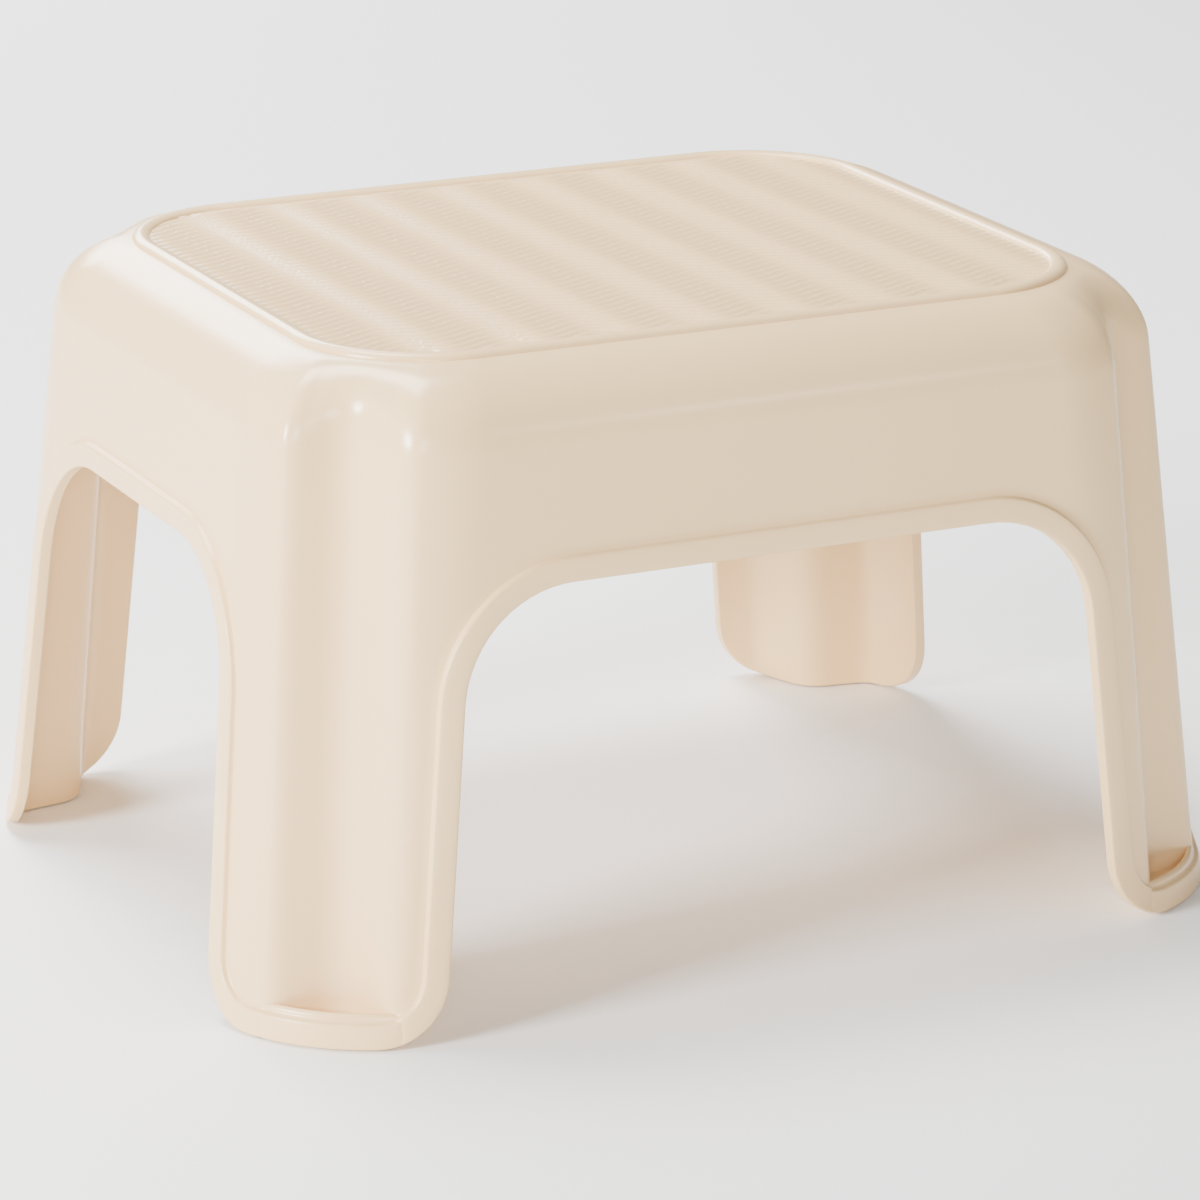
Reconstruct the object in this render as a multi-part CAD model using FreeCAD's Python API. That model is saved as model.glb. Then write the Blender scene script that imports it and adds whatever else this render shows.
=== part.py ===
"""Household plastic step stool: one moulded shell on four rubber foot pads.

Frame: origin on the floor below the middle of the tread, +X along the long side,
-Y is the front, +Z is up.  All dimensions are in millimetres.
"""
import FreeCAD
import Part
import math
import os

Vector = FreeCAD.Vector

# ---- driving dimensions -------------------------------------------------------
HEIGHT = 235.0            # floor to the crown of the tread's bead
FLOOR_LENGTH = 398.0      # over the flange of the feet, along X
FLOOR_WIDTH = 326.0       # over the flange of the feet, along Y
END_DRAFT = 0.097         # inward lean of the end walls, mm per mm of height
SIDE_DRAFT = 0.053        # inward lean of the front and back walls
BODY_CORNER = 65.0        # plan radius of the body's vertical corners
WALL = 2.8                # moulded wall thickness
SHOULDER = 26.0           # radius from the walls over to the tread

TREAD_LENGTH = 301.0      # over the bead, along X
TREAD_WIDTH = 246.0       # over the bead, along Y
TREAD_CORNER = 50.0       # plan radius of the bead's outer edge
BEAD_WIDTH = 6.5
BEAD_DROP = 2.3           # from the bead's crown down to the shoulder outside it
FIELD_DROP = 1.6          # from the bead's crown down to the field inside it

SIDE_ARCH_TOP = 158.5     # front and back openings: height of the flat top
SIDE_ARCH_HALF = 119.6    # half width where the straight sides would meet the top
SIDE_ARCH_SPREAD = 0.093  # outward lean of the sides, mm per mm of drop
SIDE_ARCH_CORNER = 42.0
END_ARCH_TOP = 159.5      # the same four sizes for the two end openings
END_ARCH_HALF = 87.0
END_ARCH_SPREAD = 0.076
END_ARCH_CORNER = 47.0
FOOT_CORNER = 26.0        # radius at the bottom of each leg's two free edges

FLANGE_WIDTH = 9.0        # stiffening flange that borders every opening
FLANGE_STEP = 2.2         # how far the flange stands out from the wall

FLUTE_END = (9.5, 31.0)   # corner flute at the floor, as distances in from the end and side
FLUTE_DEEP = (35.0, 27.0)  # walls: ridge on the end wall, deepest line, ridge on the side wall
FLUTE_SIDE = (44.0, 3.0)
FLUTE_DRIFT = (-0.033, 0.026)  # how those two distances change, mm per mm of height
FLUTE_ROUND = 12.0        # fillet along the deepest line
RIDGE_ROUND = 8.0         # rounding of the flute's outer edges
RIM_HEIGHT = 12.5         # top of the foot's rim, where the flute stops
SOLE_TOP = 6.0            # floor of the pocket behind the rim
SOLE_BOTTOM = 3.0         # underside of the same floor, which the pad bears on

EDGE_CLEAR = 0.6          # gap between the moulded edge and the floor
PAD_GAP = 0.2             # clearance round a pad in its recess
RIB_THICKNESS = 1.8       # ribs in a grid under the tread
RIB_DEPTH = 10.0
RIBS_ALONG_X = 7
RIBS_ALONG_Y = 9

# ---- values worked out from them ---------------------------------------------
SHOULDER_TOP = HEIGHT - BEAD_DROP
FIELD_TOP = HEIGHT - FIELD_DROP
OUTSIDE = 300.0           # reaches past the body in every direction
FLUTE_REACH = 40.0        # how far a flute's cutter stands out past the walls
TOUCH = 0.01              # points nearer than this to a surface lie on it
PROUD = 1.0               # how far a cutter runs past the face it leaves by

# which way each corner lies from the middle, as signs of X and Y
CORNERS = {"front_left": (-1, -1), "front_right": (1, -1), "back_left": (-1, 1), "back_right": (1, 1)}


def body_half(z, grow):
    """Half length and half width of the wall surface at height z, grown outward."""
    half_x = FLOOR_LENGTH / 2 - FLANGE_STEP - END_DRAFT * z + grow
    half_y = FLOOR_WIDTH / 2 - FLANGE_STEP - SIDE_DRAFT * z + grow
    return half_x, half_y


def rounded_rectangle(half_x, half_y, radius, z):
    """Closed wire of four lines and four arcs, centred on the Z axis."""
    edges = []
    diagonal = radius * math.sqrt(0.5)
    for turn in range(4):
        sx, sy = ((1, 1), (-1, 1), (-1, -1), (1, -1))[turn]
        centre = Vector(sx * (half_x - radius), sy * (half_y - radius), z)
        on_x = centre + Vector(sx * radius, 0, 0)
        on_y = centre + Vector(0, sy * radius, 0)
        middle = centre + Vector(sx * diagonal, sy * diagonal, 0)
        first, last = (on_x, on_y) if turn % 2 == 0 else (on_y, on_x)
        edges.append(Part.Arc(first, middle, last).toShape())
    corners = list(edges)
    for turn in range(4):
        start = corners[turn].lastVertex(True).Point
        end = corners[(turn + 1) % 4].firstVertex(True).Point
        edges.append(Part.LineSegment(start, end).toShape())
    return Part.Wire(Part.__sortEdges__(edges))


def body_block(grow, top, bottom, shoulder):
    """The body's solid form without flutes, with its shoulder rounded over."""
    wires = []
    for z in (bottom, top):
        half_x, half_y = body_half(z, grow)
        wires.append(rounded_rectangle(half_x, half_y, BODY_CORNER + grow, z))
    block = Part.makeLoft(wires, True, True)
    if shoulder <= 0:
        return block
    top_edges = [edge for edge in block.Edges if edge.BoundBox.ZMin > top - TOUCH]
    return block.makeFillet(shoulder, top_edges)


def filleted_path(points, radii):
    """Open path through points, with a tangent arc of its radius at each inner one."""
    edges = []
    start = points[0]
    for index in range(1, len(points) - 1):
        corner = points[index]
        back = (points[index - 1] - corner).normalize()
        ahead = (points[index + 1] - corner).normalize()
        half_angle = back.getAngle(ahead) / 2
        reach = radii[index - 1] / math.tan(half_angle)
        bisector = (back + ahead).normalize()
        centre = corner + bisector * (radii[index - 1] / math.sin(half_angle))
        arc_start = corner + back * reach
        arc_end = corner + ahead * reach
        arc_middle = centre - bisector * radii[index - 1]
        edges.append(Part.LineSegment(start, arc_start).toShape())
        edges.append(Part.Arc(arc_start, arc_middle, arc_end).toShape())
        start = arc_end
    edges.append(Part.LineSegment(start, points[-1]).toShape())
    return edges


def flute_section(corner, z, grow):
    """Closed wire round a corner's flute at height z, its two walls moved inward by grow."""
    deep = Vector(FLUTE_DEEP[0], FLUTE_DEEP[1], 0)
    to_end = (Vector(FLUTE_END[0], FLUTE_END[1], 0) - deep).normalize()
    to_side = (Vector(FLUTE_SIDE[0], FLUTE_SIDE[1], 0) - deep).normalize()
    end_inward = Vector(-to_end.y, to_end.x, 0)
    if end_inward.y < 0:
        end_inward = -end_inward
    side_inward = Vector(-to_side.y, to_side.x, 0)
    if side_inward.x < 0:
        side_inward = -side_inward
    on_end_wall = deep + end_inward * grow
    on_side_wall = deep + side_inward * grow
    between = on_side_wall - on_end_wall
    along = between.cross(to_side).z / to_end.cross(to_side).z
    meet = on_end_wall + to_end * along
    end_exit = meet + to_end * ((-FLUTE_REACH - meet.x) / to_end.x)
    side_exit = meet + to_side * ((-FLUTE_REACH - meet.y) / to_side.y)
    outer = Vector(-FLUTE_REACH, -FLUTE_REACH, 0)
    half_x, half_y = body_half(z, 0)
    placed = []
    drift = Vector(FLUTE_DRIFT[0] * z, FLUTE_DRIFT[1] * z, 0)
    for inset in (end_exit, meet, side_exit, outer):
        moved = inset + drift
        placed.append(Vector(corner[0] * (half_x - moved.x), corner[1] * (half_y - moved.y), z))
    edges = filleted_path(placed[:3], [FLUTE_ROUND])
    edges.append(Part.LineSegment(placed[2], placed[3]).toShape())
    edges.append(Part.LineSegment(placed[3], placed[0]).toShape())
    return Part.Wire(Part.__sortEdges__(edges))


def flute_block(corner, bottom, top, grow=0.0):
    """Solid that fills a corner's flute between two heights."""
    sections = [flute_section(corner, bottom, grow), flute_section(corner, top, grow)]
    return Part.makeLoft(sections, True, True)


def rounded_ridges(cut_body, plain_body, radius, above):
    """Round the edges that the flutes left on the body's skin above a height."""
    skin = plain_body.Shells[0]
    plain_edges = Part.makeCompound(plain_body.Edges)
    ridges = []
    for edge in cut_body.Edges:
        middle = Part.Vertex(edge.valueAt((edge.FirstParameter + edge.LastParameter) / 2))
        on_skin = skin.distToShape(middle)[0] < TOUCH
        is_new = plain_edges.distToShape(middle)[0] > TOUCH
        if on_skin and is_new and edge.BoundBox.ZMax > above + PROUD:
            ridges.append(edge)
    return cut_body.makeFillet(radius, ridges)


def fluted_body():
    """Outer form: the body with a flute down each corner to the rim of its foot."""
    plain = body_block(0.0, SHOULDER_TOP, EDGE_CLEAR, SHOULDER)
    body = plain
    for corner in CORNERS.values():
        body = body.cut(flute_block(corner, RIM_HEIGHT, HEIGHT))
    return rounded_ridges(body, plain, RIDGE_ROUND, RIM_HEIGHT)


def cavity():
    """The hollow inside the walls, with the back of each flute standing into it."""
    plain = body_block(-WALL, SHOULDER_TOP - WALL, -WALL, SHOULDER - WALL)
    hollow = plain
    for corner in CORNERS.values():
        hollow = hollow.cut(flute_block(corner, -2 * WALL, HEIGHT, WALL))
    return rounded_ridges(hollow, plain, RIDGE_ROUND - WALL, -2 * WALL)


def foot_cell(corner, bottom, top, gap=0.0):
    """Space between a flute's wall and the skin of its foot, less a gap all round."""
    skin = body_block(-WALL - gap, top, bottom, 0)
    return skin.common(flute_block(corner, bottom, top, -gap))


def opening(top, half, spread, corner, grow, along):
    """Solid through the body where one pair of openings is, its outline moved out by grow.

    The outline follows the floor under the legs too, so with a positive grow it also
    takes in the bottom of every foot.
    """
    lean = math.sqrt(1 + spread * spread)
    crown = top + grow
    floor = EDGE_CLEAR + grow
    half_at_crown = half + grow * (lean - spread)
    half_at_floor = half_at_crown + spread * (crown - floor)
    outline = [(-OUTSIDE, floor), (-half_at_floor, floor), (-half_at_crown, crown)]
    outline += [(-across, z) for across, z in reversed(outline)]
    below = [(OUTSIDE, -OUTSIDE), (-OUTSIDE, -OUTSIDE)]
    if along == "y":
        path = [Vector(across, -OUTSIDE, z) for across, z in outline + below]
        travel = Vector(0, 2 * OUTSIDE, 0)
    else:
        path = [Vector(-OUTSIDE, across, z) for across, z in outline + below]
        travel = Vector(2 * OUTSIDE, 0, 0)
    foot = FOOT_CORNER - grow
    arch = corner + grow
    upper = path[:len(outline)]
    lower = path[len(outline) - 1:] + path[:1]
    edges = filleted_path(upper, [foot, arch, arch, foot])
    edges += [Part.LineSegment(start, end).toShape() for start, end in zip(lower, lower[1:])]
    return Part.Face(Part.Wire(Part.__sortEdges__(edges))).extrude(travel)


def side_opening(grow=0.0):
    """The pair of large openings, front and back."""
    return opening(SIDE_ARCH_TOP, SIDE_ARCH_HALF, SIDE_ARCH_SPREAD, SIDE_ARCH_CORNER, grow, "y")


def end_opening(grow=0.0):
    """The pair of openings at the two ends."""
    return opening(END_ARCH_TOP, END_ARCH_HALF, END_ARCH_SPREAD, END_ARCH_CORNER, grow, "x")


def flange():
    """Band that stands out from the wall along the edge of the openings and feet."""
    top = END_ARCH_TOP + 2 * FLANGE_WIDTH
    outer = body_block(FLANGE_STEP, top, EDGE_CLEAR, 0)
    middle_of_wall = body_block(-WALL / 2, top + PROUD, 0, 0)
    band = outer.cut(middle_of_wall)
    return band.common(side_opening(FLANGE_WIDTH).fuse(end_opening(FLANGE_WIDTH)))


def rounded_plate(half_x, half_y, radius, bottom, top):
    """Flat plate with rounded corners between two heights."""
    face = Part.Face(rounded_rectangle(half_x, half_y, radius, bottom))
    return face.extrude(Vector(0, 0, top - bottom))


def bead():
    """Raised half-round border of the tread."""
    half_x = TREAD_LENGTH / 2
    half_y = TREAD_WIDTH / 2
    base = SHOULDER_TOP - WALL / 2
    outer = rounded_plate(half_x, half_y, TREAD_CORNER, base, HEIGHT)
    field_x = half_x - BEAD_WIDTH
    field_y = half_y - BEAD_WIDTH
    inner = rounded_plate(field_x, field_y, TREAD_CORNER - BEAD_WIDTH, base - PROUD, HEIGHT + PROUD)
    ring = outer.cut(inner)
    crest = [edge for edge in ring.Edges if edge.BoundBox.ZMin > HEIGHT - TOUCH]
    return ring.makeFillet(BEAD_DROP - TOUCH, crest)


def tread_field():
    """The flat the bead surrounds."""
    half_x = (TREAD_LENGTH - BEAD_WIDTH) / 2
    half_y = (TREAD_WIDTH - BEAD_WIDTH) / 2
    return rounded_plate(half_x, half_y, TREAD_CORNER - BEAD_WIDTH / 2, SHOULDER_TOP - WALL / 2, FIELD_TOP)


def ribs(body):
    """Grid of stiffening ribs under the tread, ending inside the walls."""
    top = SHOULDER_TOP - WALL / 2
    bottom = SHOULDER_TOP - WALL - RIB_DEPTH
    half_x, half_y = body_half(SHOULDER_TOP, -WALL)
    grid = []
    for index in range(1, RIBS_ALONG_X + 1):
        y = -half_y + 2 * half_y * index / (RIBS_ALONG_X + 1) - RIB_THICKNESS / 2
        grid.append(Part.makeBox(2 * OUTSIDE, RIB_THICKNESS, top - bottom, Vector(-OUTSIDE, y, bottom)))
    for index in range(1, RIBS_ALONG_Y + 1):
        x = -half_x + 2 * half_x * index / (RIBS_ALONG_Y + 1) - RIB_THICKNESS / 2
        grid.append(Part.makeBox(RIB_THICKNESS, 2 * OUTSIDE, top - bottom, Vector(x, -OUTSIDE, bottom)))
    return grid[0].fuse(grid[1:]).common(body)


def moulded_shell():
    """The whole plastic moulding as one solid."""
    body = fluted_body()
    shell = body.cut(cavity())
    shell = shell.fuse([ribs(body), bead(), tread_field(), flange()])
    for corner in CORNERS.values():
        pocket = foot_cell(corner, SOLE_TOP, RIM_HEIGHT + WALL)
        pad_recess = foot_cell(corner, -WALL, SOLE_BOTTOM)
        shell = shell.cut([pocket, pad_recess])
    return shell.cut([side_opening(), end_opening()]).removeSplitter()


def foot_pad(corner):
    """Rubber pad that fills the recess under one foot and stands on the floor."""
    return foot_cell(corner, 0.0, SOLE_BOTTOM, PAD_GAP)


def write(name, shape):
    """Check one node's shape and write it as STEP."""
    if not shape.isValid():
        raise ValueError(name + " is not valid")
    box = shape.BoundBox
    solids = len(shape.Solids)
    print(f"{name}: {solids} solid, {shape.Volume / 1000:.1f} cm3, z {box.ZMin:.2f} to {box.ZMax:.2f}")
    shape.exportStep(os.path.join("parts", name + ".step"))


def main():
    os.makedirs("parts", exist_ok=True)
    write("moulded_shell", moulded_shell())
    for name, corner in CORNERS.items():
        write("foot_pad_" + name, foot_pad(corner))


main()
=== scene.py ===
"""Looks of the moulded step stool: a formula-built skin over the CAD shell, on a pale floor.

Lengths in the shape formulas are millimetres, as in the part's own drawing; MM turns them
into the frame's metres when a mesh is made.
"""
import bmesh
import bpy
import math
import numpy as np
from mathutils import Matrix, Vector, geometry


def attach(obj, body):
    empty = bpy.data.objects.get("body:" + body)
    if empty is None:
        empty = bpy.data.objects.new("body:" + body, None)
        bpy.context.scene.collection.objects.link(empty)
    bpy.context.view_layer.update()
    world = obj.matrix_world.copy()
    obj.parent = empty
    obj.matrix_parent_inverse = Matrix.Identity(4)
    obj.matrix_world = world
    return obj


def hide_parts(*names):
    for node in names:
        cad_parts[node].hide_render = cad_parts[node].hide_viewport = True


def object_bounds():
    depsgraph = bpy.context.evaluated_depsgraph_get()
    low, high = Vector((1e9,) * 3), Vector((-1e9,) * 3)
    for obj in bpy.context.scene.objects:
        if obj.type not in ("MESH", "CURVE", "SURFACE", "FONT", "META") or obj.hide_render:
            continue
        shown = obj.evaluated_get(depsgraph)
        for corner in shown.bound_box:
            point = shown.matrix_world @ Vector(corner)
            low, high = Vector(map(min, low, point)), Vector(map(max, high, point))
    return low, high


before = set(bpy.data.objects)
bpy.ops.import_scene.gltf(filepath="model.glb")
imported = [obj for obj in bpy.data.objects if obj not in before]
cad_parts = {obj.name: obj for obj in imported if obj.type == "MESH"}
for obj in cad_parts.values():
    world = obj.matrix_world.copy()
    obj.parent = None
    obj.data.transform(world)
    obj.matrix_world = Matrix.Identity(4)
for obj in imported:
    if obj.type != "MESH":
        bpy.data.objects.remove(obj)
cad_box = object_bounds()

MM = 0.001

# ---- the moulding, as drawn in the CAD part -----------------------------------
HEIGHT = cad_box[1].z / MM
FLANGE_STEP = 2.2
FLANGE_WIDTH = 9.0
FLANGE_REACH = 15.0          # from the edge to where the wall is left to its free mesh
FLOOR_LENGTH = 398.0
FLOOR_WIDTH = 326.0
END_DRAFT = 0.097
SIDE_DRAFT = 0.053
BODY_CORNER = 65.0
WALL = 2.8
SHOULDER = 26.0
BEAD_DROP = 2.3
FIELD_DROP = 1.6
TREAD_HALF = (150.5, 123.0)
TREAD_CORNER = 50.0
BEAD_WIDTH = 6.5
FLOOR_EDGE = 0.6
FOOT_CORNER = 26.0
SIDE_ARCH = {"top": 158.5, "half": 119.6, "spread": 0.093, "corner": 42.0}
END_ARCH = {"top": 159.5, "half": 87.0, "spread": 0.076, "corner": 47.0}
FLUTE_END = (9.5, 31.0)      # at the floor, in from the end and side walls: ridge on the end
FLUTE_DEEP = (35.0, 27.0)    # wall, deepest line, and ridge on the side wall
FLUTE_SIDE = (44.0, 3.0)
FLUTE_DRIFT = (-0.033, 0.026)  # how those two distances change, mm per mm of height
RIDGE_BLEND = (4.5, 5.5)     # how softly the end and side ridges and the deepest line turn
DEEP_BLEND = 9.0
RIM_HEIGHT = 12.5
RIM_TURN = (27.0, 76.0)      # degrees round a corner between which the foot's rim stands free
RIM_COLUMNS = 40
RIM_PROUD = 0.05             # keeps the rim just clear of the skin it overlaps
RIM_BURIED = 0.4             # how far its two ends sink into that skin instead
RIM_FADE = 3                 # columns over which they sink
SOLE = (3.0, 6.0)
RIB_THICKNESS = 1.8
RIB_DEPTH = 10.0
RIB_COUNTS = (7, 9)

# ---- the anti-slip ripple of the tread field ------------------------------------
RIPPLE_PITCH = 5.2
RIPPLE_HEIGHT = 0.9
WAVE_LENGTH = 34.2
WAVE_SWING = 3.4
WAVE_START = 6.0             # where along the tread one wave crosses its middle
RIPPLE_FADE = 5.0            # the ripple dies away over this distance from the bead
FIELD_ROWS = 481
FIELD_COLUMNS = 141

# ---- camera: a long lens from the front left, a little above the tread ----------
CAMERA_AZIMUTH = -25.57      # degrees
CAMERA_ELEVATION = 17.04
CAMERA_DISTANCE = 2.0633     # metres, from the axis at half the stool's height
CAMERA_SLIDE = (0.0019, -0.0056)  # metres to the right and up, square to the view
SENSOR_WIDTH = 36.0
LENS_LENGTH = 165.2
SHIFT_UP = -0.030

SHOULDER_TOP = HEIGHT - BEAD_DROP
FIELD_TOP = HEIGHT - FIELD_DROP
CEILING = SHOULDER_TOP - WALL
BLOCK_SPLIT = 200.0          # height where the wall's free mesh meets its ruled upper rows
QUADRANTS = ((1, 1), (-1, 1), (-1, -1), (1, -1))


# ---- outlines --------------------------------------------------------------------
def wall_centre(z):
    """Centre of the corner's arc at height z, from the stool's axis."""
    centre_x = FLOOR_LENGTH / 2 - FLANGE_STEP - END_DRAFT * z - BODY_CORNER
    centre_y = FLOOR_WIDTH / 2 - FLANGE_STEP - SIDE_DRAFT * z - BODY_CORNER
    return centre_x, centre_y


def soft_min(a, b, blend):
    """The smaller of two values, rounded over where they are within blend of each other."""
    near = np.maximum(blend - np.abs(a - b), 0) / blend
    return np.minimum(a, b) - near * near * blend / 4


def soft_max(a, b, blend):
    return -soft_min(-a, -b, blend)


def line_reach(start, end, angle, z, grow):
    """Distance from the corner's centre to one wall of the flute, along an angle."""
    start = BODY_CORNER - np.array(start)
    along = BODY_CORNER - np.array(end) - start
    normal = np.array((along[1], -along[0])) / np.hypot(*along)
    if normal @ start < 0:
        normal = -normal
    facing = normal[0] * np.cos(angle) + normal[1] * np.sin(angle)
    offset = normal @ start - normal @ np.array(FLUTE_DRIFT) * z
    return (offset + grow) / np.maximum(facing, 0.05)


def corner_reach(angle, z, grow, fluted=True):
    """Distance from the corner's centre out to the skin, along an angle from +X."""
    plain = np.full_like(angle, BODY_CORNER + grow)
    if not fluted:
        return plain
    end_wall = line_reach(FLUTE_END, FLUTE_DEEP, angle, z, grow)
    side_wall = line_reach(FLUTE_DEEP, FLUTE_SIDE, angle, z, grow)
    blend = np.where(end_wall > side_wall, RIDGE_BLEND[0], RIDGE_BLEND[1])
    return soft_min(plain, soft_max(end_wall, side_wall, DEEP_BLEND), blend)


def around(q, centre, reach):
    """Point at q on a quarter outline: 0 to 1 is the end, 1 to 2 the corner, 2 to 3 the side."""
    q = np.asarray(q, float)
    angle = (np.clip(q, 1, 2) - 1) * math.pi / 2
    distance = reach(angle)
    x = np.where(q > 2, centre[0] * (3 - q), centre[0] + distance * np.cos(angle))
    y = np.where(q < 1, centre[1] * q, centre[1] + distance * np.sin(angle))
    return x, y


def wall(q, z, grow, fluted=True):
    """Point of the wall's skin, moved outward by grow."""
    x, y = around(q, wall_centre(z), lambda angle: corner_reach(angle, z, grow, fluted))
    return np.stack([x, y, np.broadcast_to(z, np.shape(x))], -1)


def tread_line(q, inset, z):
    """Point of the tread's rounded rectangle, inset from the outside of the bead."""
    radius = TREAD_CORNER - inset
    centre = (TREAD_HALF[0] - TREAD_CORNER, TREAD_HALF[1] - TREAD_CORNER)
    x, y = around(q, centre, lambda angle: np.full_like(angle, radius))
    return np.stack([x, y, np.broadcast_to(z, np.shape(x))], -1)


def column_places():
    """Where the mesh's columns stand on a quarter outline: closest round the flute."""
    end = np.linspace(0, 1, 13)[:-1]
    corner = np.linspace(1, 2, 73)
    side = np.linspace(2, 3, 15)[1:]
    return np.concatenate([end, corner, side])


# ---- the edge of the openings and feet ---------------------------------------------
def arch_path(arch, out):
    """Half of one opening's outline moved out by a distance, from its crown to the floor."""
    lean = math.hypot(1, arch["spread"])
    tilt = math.atan(arch["spread"])
    radius = arch["corner"]
    high = np.array([arch["half"] + arch["spread"] * radius - radius * lean, arch["top"] - radius])
    low_z = FLOOR_EDGE + FOOT_CORNER
    low = np.array([arch["half"] + arch["spread"] * (arch["top"] - low_z) + FOOT_CORNER * lean, low_z])
    crown = [(across, arch["top"] + out) for across in np.linspace(0, high[0], 15)[:-1]]
    turn = np.linspace(math.pi / 2, tilt, 16)
    upper = [tuple(high + (radius + out) * np.array([math.cos(a), math.sin(a)])) for a in turn]
    turn = np.linspace(tilt, math.pi / 2, 14)
    lower = [tuple(low - (FOOT_CORNER - out) * np.array([math.cos(a), math.sin(a)])) for a in turn]
    side = [tuple(point) for point in np.linspace(upper[-1], lower[0], 20)[1:-1]]
    return np.array(crown + upper + side + lower)


def place_on_end(y, z):
    """Where a point of the end wall lies on the quarter outline."""
    centre = wall_centre(z)[1]
    past = np.arcsin(np.clip((y - centre) / BODY_CORNER, 0, 1)) / (math.pi / 2)
    return np.where(y < centre, y / centre, 1 + past)


def place_on_side(x, z):
    """The same for the side wall."""
    centre = wall_centre(z)[0]
    past = np.arccos(np.clip((x - centre) / BODY_CORNER, 0, 1)) / (math.pi / 2)
    return np.where(x < centre, 3 - x / centre, 1 + past)


def floor_columns():
    """Columns that stand between the rounded corners of a foot at every height of its flange."""
    columns = column_places()
    first = []
    last = []
    for out in (0.0, FLANGE_REACH):
        end = arch_path(END_ARCH, out)[-1]
        side = arch_path(SIDE_ARCH, out)[-1]
        first.append(float(place_on_end(*end)))
        last.append(float(place_on_side(*side)))
    spare = 0.007
    return columns[(columns > max(first) + spare) & (columns < min(last) - spare)]


def edge_row(out):
    """(q, z) along the lower edge of a quarter of the shell, at a distance from that edge."""
    end = arch_path(END_ARCH, out)
    side = arch_path(SIDE_ARCH, out)[::-1]
    q_end = place_on_end(end[:, 0], end[:, 1])
    q_side = place_on_side(side[:, 0], side[:, 1])
    floor = floor_columns()
    q = np.concatenate([q_end, floor, q_side])
    z = np.concatenate([end[:, 1], np.full(len(floor), FLOOR_EDGE + out), side[:, 1]])
    return q, z


def flange_profile():
    """(distance from the edge, height off the wall) across the flange, its corners rounded."""
    round_off = 0.9
    turn = np.linspace(0, math.pi / 2, 5)
    rise = [(round_off * (1 - math.cos(a)), FLANGE_STEP - round_off * (1 - math.sin(a))) for a in turn]
    fall = [(FLANGE_WIDTH - distance, height) for distance, height in reversed(rise)]
    foot = [(FLANGE_WIDTH + 0.1, 0.7), (FLANGE_WIDTH + 0.4, 0.2), (FLANGE_WIDTH + 1.0, 0.0)]
    return rise + [(3.0, FLANGE_STEP), (6.0, FLANGE_STEP)] + fall + foot + [(12.5, 0.0), (FLANGE_REACH, 0.0)]


def flange_height(q, z, height):
    """The flange's own height off the wall: none in the flute, where the foot's rim carries it."""
    angle = (np.clip(q, 1, 2) - 1) * math.pi / 2
    depth = BODY_CORNER - corner_reach(angle, z, 0.0)
    return height * np.clip(1 - depth / 2.0, 0, 1)


# ---- mesh helpers ---------------------------------------------------------------------
class Skin:
    """Points and faces gathered before they become one mesh."""

    def __init__(self):
        self.points = []
        self.faces = []

    def add_rows(self, rows, closed=False):
        """Quads between successive rows, each an equal number of points."""
        start = len(self.points)
        count = len(rows[0])
        for row in rows:
            self.points.extend(np.asarray(row).tolist())
        for level in range(len(rows) - 1):
            for index in range(count if closed else count - 1):
                after = (index + 1) % count
                here = start + level * count
                above = here + count
                self.faces.append((here + index, here + after, above + after, above + index))

    def add_faces(self, points, faces):
        start = len(self.points)
        self.points.extend(np.asarray(points).tolist())
        self.faces.extend(tuple(start + index for index in face) for face in faces)

    def add_prism(self, outline, bottom, top):
        """Closed prism over a list of (x, y) points."""
        low = [(x, y, bottom) for x, y in outline]
        high = [(x, y, top) for x, y in outline]
        count = len(outline)
        sides = [(i, (i + 1) % count, count + (i + 1) % count, count + i) for i in range(count)]
        caps = [tuple(range(count))[::-1], tuple(range(count, 2 * count))]
        self.add_faces(low + high, sides + caps)

    def add_quarters(self, quarter):
        """Four mirrored copies of a quarter."""
        for sign_x, sign_y in QUADRANTS:
            points = np.array(quarter.points) * (sign_x, sign_y, 1)
            self.add_faces(points, quarter.faces)

    def make(self, name, material):
        """One smooth object riding on the stool."""
        mesh = bpy.data.meshes.new(name)
        mesh.from_pydata((np.array(self.points) * MM).tolist(), [], self.faces)
        work = bmesh.new()
        work.from_mesh(mesh)
        bmesh.ops.remove_doubles(work, verts=work.verts, dist=0.004 * MM)
        bmesh.ops.recalc_face_normals(work, faces=work.faces)
        for face in work.faces:
            face.smooth = True
        for edge in work.edges:
            edge.smooth = not edge.is_manifold or edge.calc_face_angle(0.0) < math.radians(38)
        work.to_mesh(mesh)
        work.free()
        piece = bpy.data.objects.new(name, mesh)
        bpy.context.scene.collection.objects.link(piece)
        mesh.materials.append(material)
        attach(piece, "root")
        return piece


# ---- the shell ----------------------------------------------------------------------------
def wall_mesh():
    """Triangles of a quarter of the wall, as (q, z) points, between its flange and BLOCK_SPLIT."""
    reach = 100.0
    columns = column_places()
    q, z = edge_row(FLANGE_REACH)
    lower = np.stack([q * reach, z], 1)
    upper = np.stack([columns[::-1] * reach, np.full(len(columns), BLOCK_SPLIT)], 1)
    outline = np.concatenate([lower, upper])
    across, up = np.meshgrid(columns * reach, np.arange(BLOCK_SPLIT - 8, 16, -8.0))
    inside = np.stack([across.ravel(), up.ravel()], 1)
    gap = np.min(np.hypot(*(inside[:, None] - lower[None]).transpose(2, 0, 1)), axis=1)
    points = np.concatenate([outline, inside[gap > 3.0]])
    flat = [Vector(point) for point in points]
    found = geometry.delaunay_2d_cdt(flat, [], [list(range(len(outline)))], 1, 1e-5)
    places = np.array([tuple(point) for point in found[0]])
    return places[:, 0] / reach, places[:, 1], found[2]


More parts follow.
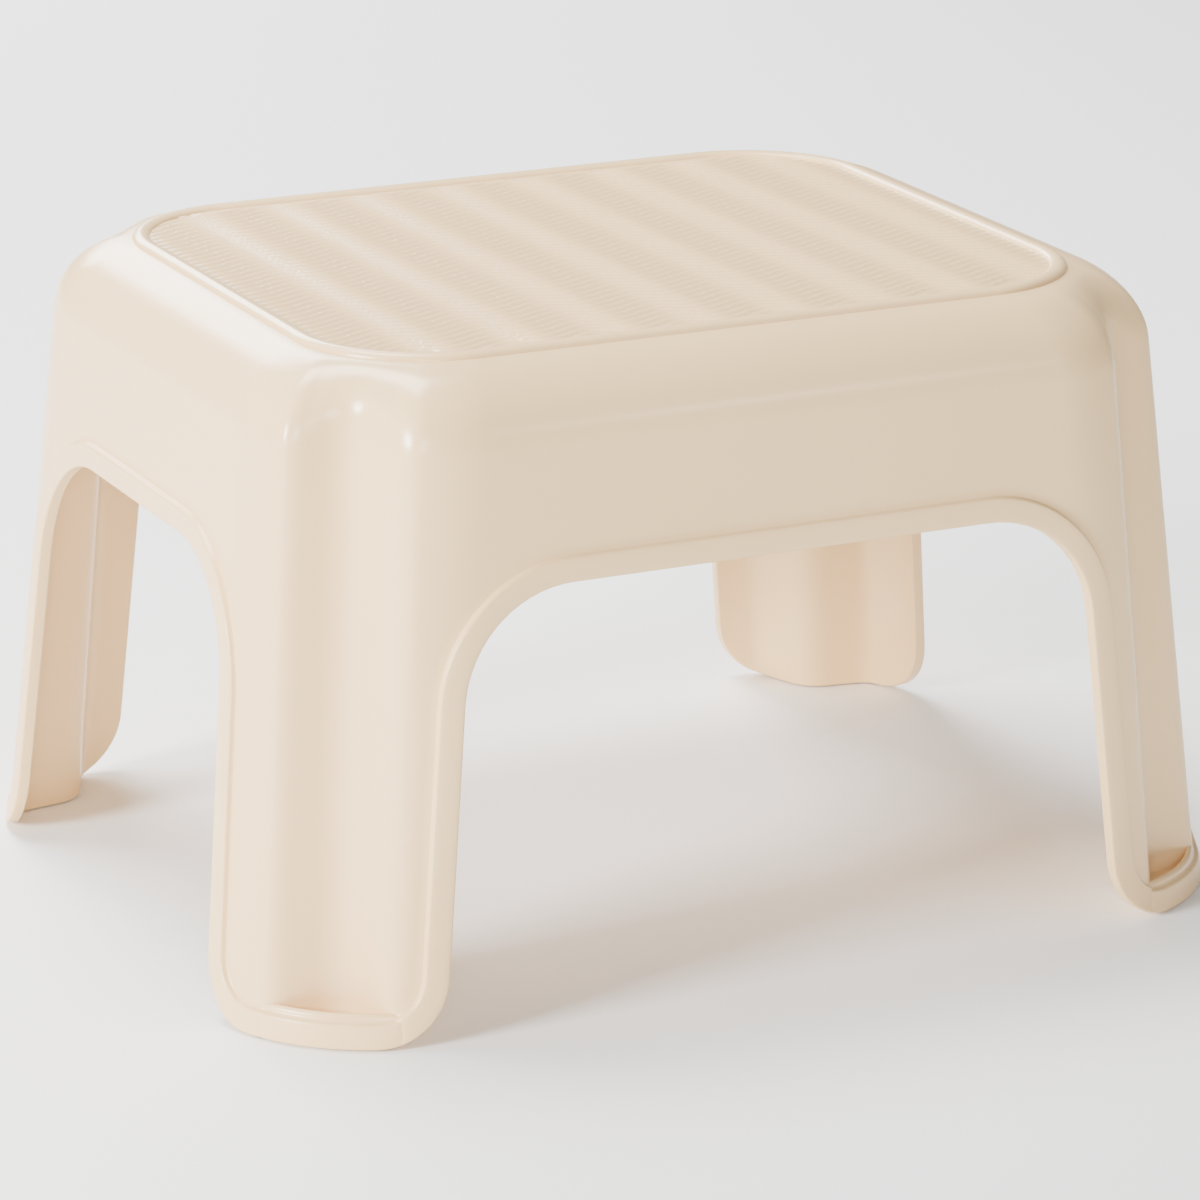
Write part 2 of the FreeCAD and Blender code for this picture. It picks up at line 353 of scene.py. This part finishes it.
def shoulder_drop(columns):
    """How far the shoulder falls: less above a flute, where there is less room for it."""
    gap = wall(columns, SHOULDER_TOP, 0.0) - tread_line(columns, 0.0, SHOULDER_TOP)
    return np.minimum(SHOULDER, 1.1 * np.hypot(gap[:, 0], gap[:, 1]))


def upper_rows(grow):
    """Rows from BLOCK_SPLIT up the wall and over the shoulder to the outside of the bead."""
    columns = column_places()
    top = SHOULDER_TOP + grow
    drop = shoulder_drop(columns) + grow
    rows = [wall(columns, BLOCK_SPLIT + (top - drop - BLOCK_SPLIT) * k / 4, grow) for k in range(4)]
    for turn in np.linspace(math.pi / 2, 0, 15):
        z = top - drop * (1 - math.cos(turn))
        outer = wall(columns, z, grow)
        inner = tread_line(columns, 0.0, z)
        rows.append(inner + (outer - inner) * math.sin(turn))
    return rows


def bead_rows():
    """Rows over the half-round bead, ending below the field."""
    columns = column_places()
    rows = []
    for turn in np.linspace(0, math.pi, 13)[1:]:
        inset = BEAD_WIDTH / 2 * (1 - math.cos(turn))
        base = SHOULDER_TOP + (BEAD_DROP - FIELD_DROP) * inset / BEAD_WIDTH
        rows.append(tread_line(columns, inset, base + (HEIGHT - base) * math.sin(turn)))
    rows.append(tread_line(columns, BEAD_WIDTH + 1.0, SHOULDER_TOP - 0.8))
    return rows


def shell_quarter():
    """One quarter of the shell: outer skin, inner skin and the edge that joins them."""
    quarter = Skin()
    q, z, triangles = wall_mesh()
    quarter.add_faces(wall(q, z, 0.0), triangles)
    quarter.add_faces(wall(q, z, -WALL), triangles)
    outer_rows = []
    inner_rows = []
    for out, height in flange_profile():
        q_row, z_row = edge_row(out)
        outer_rows.append(wall(q_row, z_row, flange_height(q_row, z_row, height)))
        if out > 0.4:
            inner_rows.append(wall(q_row, z_row, -WALL))
    q_edge, z_edge = edge_row(0.0)
    lip = wall(q_edge, z_edge, -WALL + 0.5)
    quarter.add_rows(inner_rows[::-1] + [lip] + outer_rows)
    columns = column_places()
    outer = upper_rows(0.0) + bead_rows()
    inner = upper_rows(-WALL) + [tread_line(columns, BEAD_WIDTH + 1.0, CEILING)]
    quarter.add_rows(inner + outer[::-1])
    return quarter


def foot(skin, signs):
    """The rim, pocket floor and inner step of one foot."""
    angles = np.radians(np.linspace(*RIM_TURN, RIM_COLUMNS))
    places = 1 + angles / (math.pi / 2)
    low_x = arch_path(SIDE_ARCH, 0.0)[-1][0]
    x = wall(places, FLOOR_EDGE, 0.0, False)[:, 0]
    lift = np.clip(low_x - x, 0, FOOT_CORNER)
    low = FLOOR_EDGE + FOOT_CORNER - np.sqrt(FOOT_CORNER ** 2 - lift ** 2)
    column = np.arange(RIM_COLUMNS)
    free = np.minimum(1, np.minimum(column, column[::-1]) / RIM_FADE)

    def loop(height, grow):
        return wall(places, height, grow, False)

    section = [loop(low + 0.6, -WALL), loop(low, -WALL + 0.6)]
    for out, height in flange_profile():
        if out < RIM_HEIGHT - FLOOR_EDGE - 1.2:
            section.append(loop(low + out, height + RIM_PROUD - RIM_BURIED * (1 - free)))
    for turn in np.linspace(0, math.pi, 9):
        top = RIM_HEIGHT - WALL / 2 + WALL / 2 * math.sin(turn)
        section.append(loop(top, -WALL / 2 * (1 - math.cos(turn))))
    section = np.array(section)
    levels = len(section)
    points = section.reshape(-1, 3) * (signs[0], signs[1], 1)
    faces = []
    for level in range(levels):
        after = (level + 1) % levels
        for k in range(RIM_COLUMNS - 1):
            here = level * RIM_COLUMNS + k
            above = after * RIM_COLUMNS + k
            faces.append((here, here + 1, above + 1, above))
    faces.append(tuple(level * RIM_COLUMNS for level in range(levels)))
    faces.append(tuple((level + 1) * RIM_COLUMNS - 1 for level in range(levels))[::-1])
    skin.add_faces(points, faces)
    outside = wall(places, SOLE[1], -WALL / 2, False)[:, :2]
    inside = wall(places, SOLE[1], -WALL / 2, True)[::-1, :2]
    apart = np.hypot(*(outside[::-1] - inside).T) > 0.05
    inside = inside[apart]
    outline = np.concatenate([outside, inside]) * signs
    skin.add_prism(outline.tolist(), *SOLE)


def ribs(skin):
    """The grid of ribs under the tread, each following the shoulder down at its ends."""
    columns = column_places()
    centre = wall_centre(SHOULDER_TOP)
    half = np.array([centre[0], centre[1]]) + BODY_CORNER - WALL
    heights = np.linspace(CEILING + 1.0, CEILING - RIB_DEPTH, 7)
    sections = []
    rows = upper_rows(-WALL)
    for z in heights:
        fall = np.clip(z, None, CEILING)
        ring = []
        for index in range(len(columns)):
            line = np.array([row[index] for row in rows])
            ring.append([np.interp(fall, line[:, 2], line[:, 0]), np.interp(fall, line[:, 2], line[:, 1])])
        sections.append(np.array(ring))
    for axis in (0, 1):
        count = RIB_COUNTS[axis]
        for k in range(1, count + 1):
            across = half[1 - axis] * (2 * k / (count + 1) - 1)
            ends = []
            for ring in sections:
                order = np.argsort(ring[:, 1 - axis])
                ends.append(np.interp(abs(across), ring[order, 1 - axis], ring[order, axis]) + WALL / 2)
            profile = [(end, z) for end, z in zip(ends, heights)]
            profile += [(-end, z) for end, z in profile[::-1]]
            points = []
            for side in (-RIB_THICKNESS / 2, RIB_THICKNESS / 2):
                for along, z in profile:
                    point = (along, across + side) if axis == 0 else (across + side, along)
                    points.append((*point, z))
            size = len(profile)
            faces = [tuple(range(size)), tuple(range(size, 2 * size))[::-1]]
            faces += [(i, size + i, size + (i + 1) % size, (i + 1) % size) for i in range(size)]
            skin.add_faces(points, faces)


def tread_field(skin):
    """Plate inside the bead, its top cut in fine ridges that run lengthwise in waves."""
    inset = BEAD_WIDTH / 2
    half_x = TREAD_HALF[0] - inset
    half_y = TREAD_HALF[1] - inset
    radius = TREAD_CORNER - inset
    rows = []
    for y in np.linspace(-half_y + 0.01, half_y - 0.01, FIELD_ROWS):
        past = max(abs(y) - (half_y - radius), 0)
        end = half_x - radius + math.sqrt(max(radius ** 2 - past ** 2, 0))
        x = np.linspace(-end, end, FIELD_COLUMNS)
        swing = -WAVE_SWING * np.sin(2 * math.pi * (x - WAVE_START) / WAVE_LENGTH)
        ridge = (0.5 + 0.5 * np.cos(2 * math.pi * (y + swing) / RIPPLE_PITCH)) ** 2
        margin = np.minimum(end - np.abs(x), half_y - abs(y)) - inset
        fade = np.clip(margin / RIPPLE_FADE, 0, 1)
        z = FIELD_TOP + RIPPLE_HEIGHT * (ridge - 0.5) * fade * fade * (3 - 2 * fade)
        rows.append(np.stack([x, np.full_like(x, y), z], 1))
    skin.add_rows(rows)
    rim = [row[0] for row in rows] + list(rows[-1][1:]) + [row[-1] for row in rows[-2::-1]]
    rim += list(rows[0][-2:0:-1])
    under_rim = [point * (1, 1, 0) + (0, 0, CEILING) for point in rim]
    skin.add_rows([rim, under_rim], closed=True)
    skin.add_faces(under_rim, [tuple(range(len(under_rim)))])


def shell(material):
    skin = Skin()
    skin.add_quarters(shell_quarter())
    for signs in QUADRANTS:
        foot(skin, signs)
    body = skin.make("shell_skin", material)
    plate = Skin()
    tread_field(plate)
    tread = plate.make("tread_field", material)
    grid = Skin()
    ribs(grid)
    under = grid.make("rib_grid", material)
    for piece in (body, tread, under):
        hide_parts("moulded_shell")


# ---- materials --------------------------------------------------------------------------------
def surface(name, colour, roughness):
    """A plain material with its nodes and its main shader."""
    material = bpy.data.materials.new(name)
    material.use_nodes = True
    shader = material.node_tree.nodes["Principled BSDF"]
    shader.inputs["Base Color"].default_value = (*colour, 1)
    shader.inputs["Roughness"].default_value = roughness
    return material, shader


def cream_plastic():
    """Glossy cream polypropylene, a little uneven in shade."""
    material, shader = surface("cream_plastic", (0.88, 0.61, 0.31), 0.25)
    nodes = material.node_tree.nodes
    links = material.node_tree.links
    shader.inputs["IOR"].default_value = 1.49
    place = nodes.new("ShaderNodeTexCoord")
    cloud = nodes.new("ShaderNodeTexNoise")
    cloud.inputs["Scale"].default_value = 9.0
    cloud.inputs["Detail"].default_value = 3.0
    tint = nodes.new("ShaderNodeValToRGB")
    tint.color_ramp.elements[0].position = 0.3
    tint.color_ramp.elements[0].color = (0.87, 0.60, 0.30, 1)
    tint.color_ramp.elements[1].position = 0.7
    tint.color_ramp.elements[1].color = (0.89, 0.62, 0.32, 1)
    grain = nodes.new("ShaderNodeTexNoise")
    grain.inputs["Scale"].default_value = 420.0
    bump = nodes.new("ShaderNodeBump")
    bump.inputs["Strength"].default_value = 0.05
    bump.inputs["Distance"].default_value = 0.0004
    links.new(place.outputs["Object"], cloud.inputs["Vector"])
    links.new(place.outputs["Object"], grain.inputs["Vector"])
    links.new(cloud.outputs["Fac"], tint.inputs["Fac"])
    links.new(tint.outputs["Color"], shader.inputs["Base Color"])
    links.new(grain.outputs["Fac"], bump.inputs["Height"])
    links.new(bump.outputs["Normal"], shader.inputs["Normal"])
    return material


def pad_rubber():
    """Matt dark rubber with a fine grain."""
    material, shader = surface("pad_rubber", (0.09, 0.09, 0.085), 0.75)
    nodes = material.node_tree.nodes
    links = material.node_tree.links
    place = nodes.new("ShaderNodeTexCoord")
    grain = nodes.new("ShaderNodeTexNoise")
    grain.inputs["Scale"].default_value = 700.0
    bump = nodes.new("ShaderNodeBump")
    bump.inputs["Strength"].default_value = 0.2
    bump.inputs["Distance"].default_value = 0.0003
    links.new(place.outputs["Object"], grain.inputs["Vector"])
    links.new(grain.outputs["Fac"], bump.inputs["Height"])
    links.new(bump.outputs["Normal"], shader.inputs["Normal"])
    return material


def foot_pads(material):
    """The CAD pads, shown as they are in rubber."""
    for name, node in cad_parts.items():
        if name.startswith("foot_pad_"):
            node.data.materials.clear()
            node.data.materials.append(material)


# ---- stage ----------------------------------------------------------------------------------------
def floor():
    """Pale floor, its edge out of view except when seen from close to the ground."""
    half = 6.0
    mesh = bpy.data.meshes.new("floor")
    corners = [(-half, -half, 0), (half, -half, 0), (half, half, 0), (-half, half, 0)]
    mesh.from_pydata(corners, [], [(0, 1, 2, 3)])
    piece = bpy.data.objects.new("floor", mesh)
    bpy.context.scene.collection.objects.link(piece)
    material, shader = surface("pale_floor", (0.96, 0.96, 0.96), 0.9)
    shader.inputs["Specular IOR Level"].default_value = 0.0
    mesh.materials.append(material)


def soft_box(name, place, size, power):
    """Square area light that faces the middle of the stool."""
    light = bpy.data.lights.new(name, "AREA")
    light.size = size
    light.energy = power
    lamp = bpy.data.objects.new(name, light)
    lamp.location = place
    aim = Vector((0, 0, 0.12)) - Vector(place)
    lamp.rotation_mode = "QUATERNION"
    lamp.rotation_quaternion = aim.to_track_quat("-Z", "Y")
    bpy.context.scene.collection.objects.link(lamp)


def lights():
    """Boxes overhead and behind, a key from the left, a weak front fill and a small glint."""
    soft_box("overhead", (-0.3, 0.5, 1.8), 0.8, 58.0)
    soft_box("behind", (0.1, 2.6, 1.5), 1.4, 120.0)
    soft_box("key_left", (-2.1, -0.5, 0.8), 0.6, 115.0)
    soft_box("front_left", (-1.0, -2.2, 0.8), 0.6, 26.0)
    soft_box("glint", (1.07, -2.2, 0.9), 0.12, 4.0)
    world = bpy.data.worlds.new("surround")
    world.use_nodes = True
    back = world.node_tree.nodes["Background"]
    back.inputs["Color"].default_value = (1.0, 1.0, 1.0, 1)
    back.inputs["Strength"].default_value = 0.34
    bpy.context.scene.world = world


def camera():
    """Place the camera and make it the one in use."""
    azimuth = math.radians(CAMERA_AZIMUTH)
    elevation = math.radians(CAMERA_ELEVATION)
    level = math.cos(elevation)
    back = Vector((math.sin(azimuth) * level, -math.cos(azimuth) * level, math.sin(elevation)))
    right = Vector((math.cos(azimuth), math.sin(azimuth), 0))
    up = back.cross(right)
    lens = bpy.data.cameras.new("camera")
    lens.sensor_width = SENSOR_WIDTH
    lens.lens = LENS_LENGTH
    lens.shift_y = SHIFT_UP
    eye = bpy.data.objects.new("camera", lens)
    middle = Vector((0, 0, HEIGHT * MM / 2))
    place = middle + back * CAMERA_DISTANCE + right * CAMERA_SLIDE[0] + up * CAMERA_SLIDE[1]
    turn = Matrix((right, up, back)).transposed().to_4x4()
    eye.matrix_world = Matrix.Translation(place) @ turn
    bpy.context.scene.collection.objects.link(eye)
    bpy.context.scene.camera = eye


shell(cream_plastic())
foot_pads(pad_rubber())
floor()
lights()
camera()
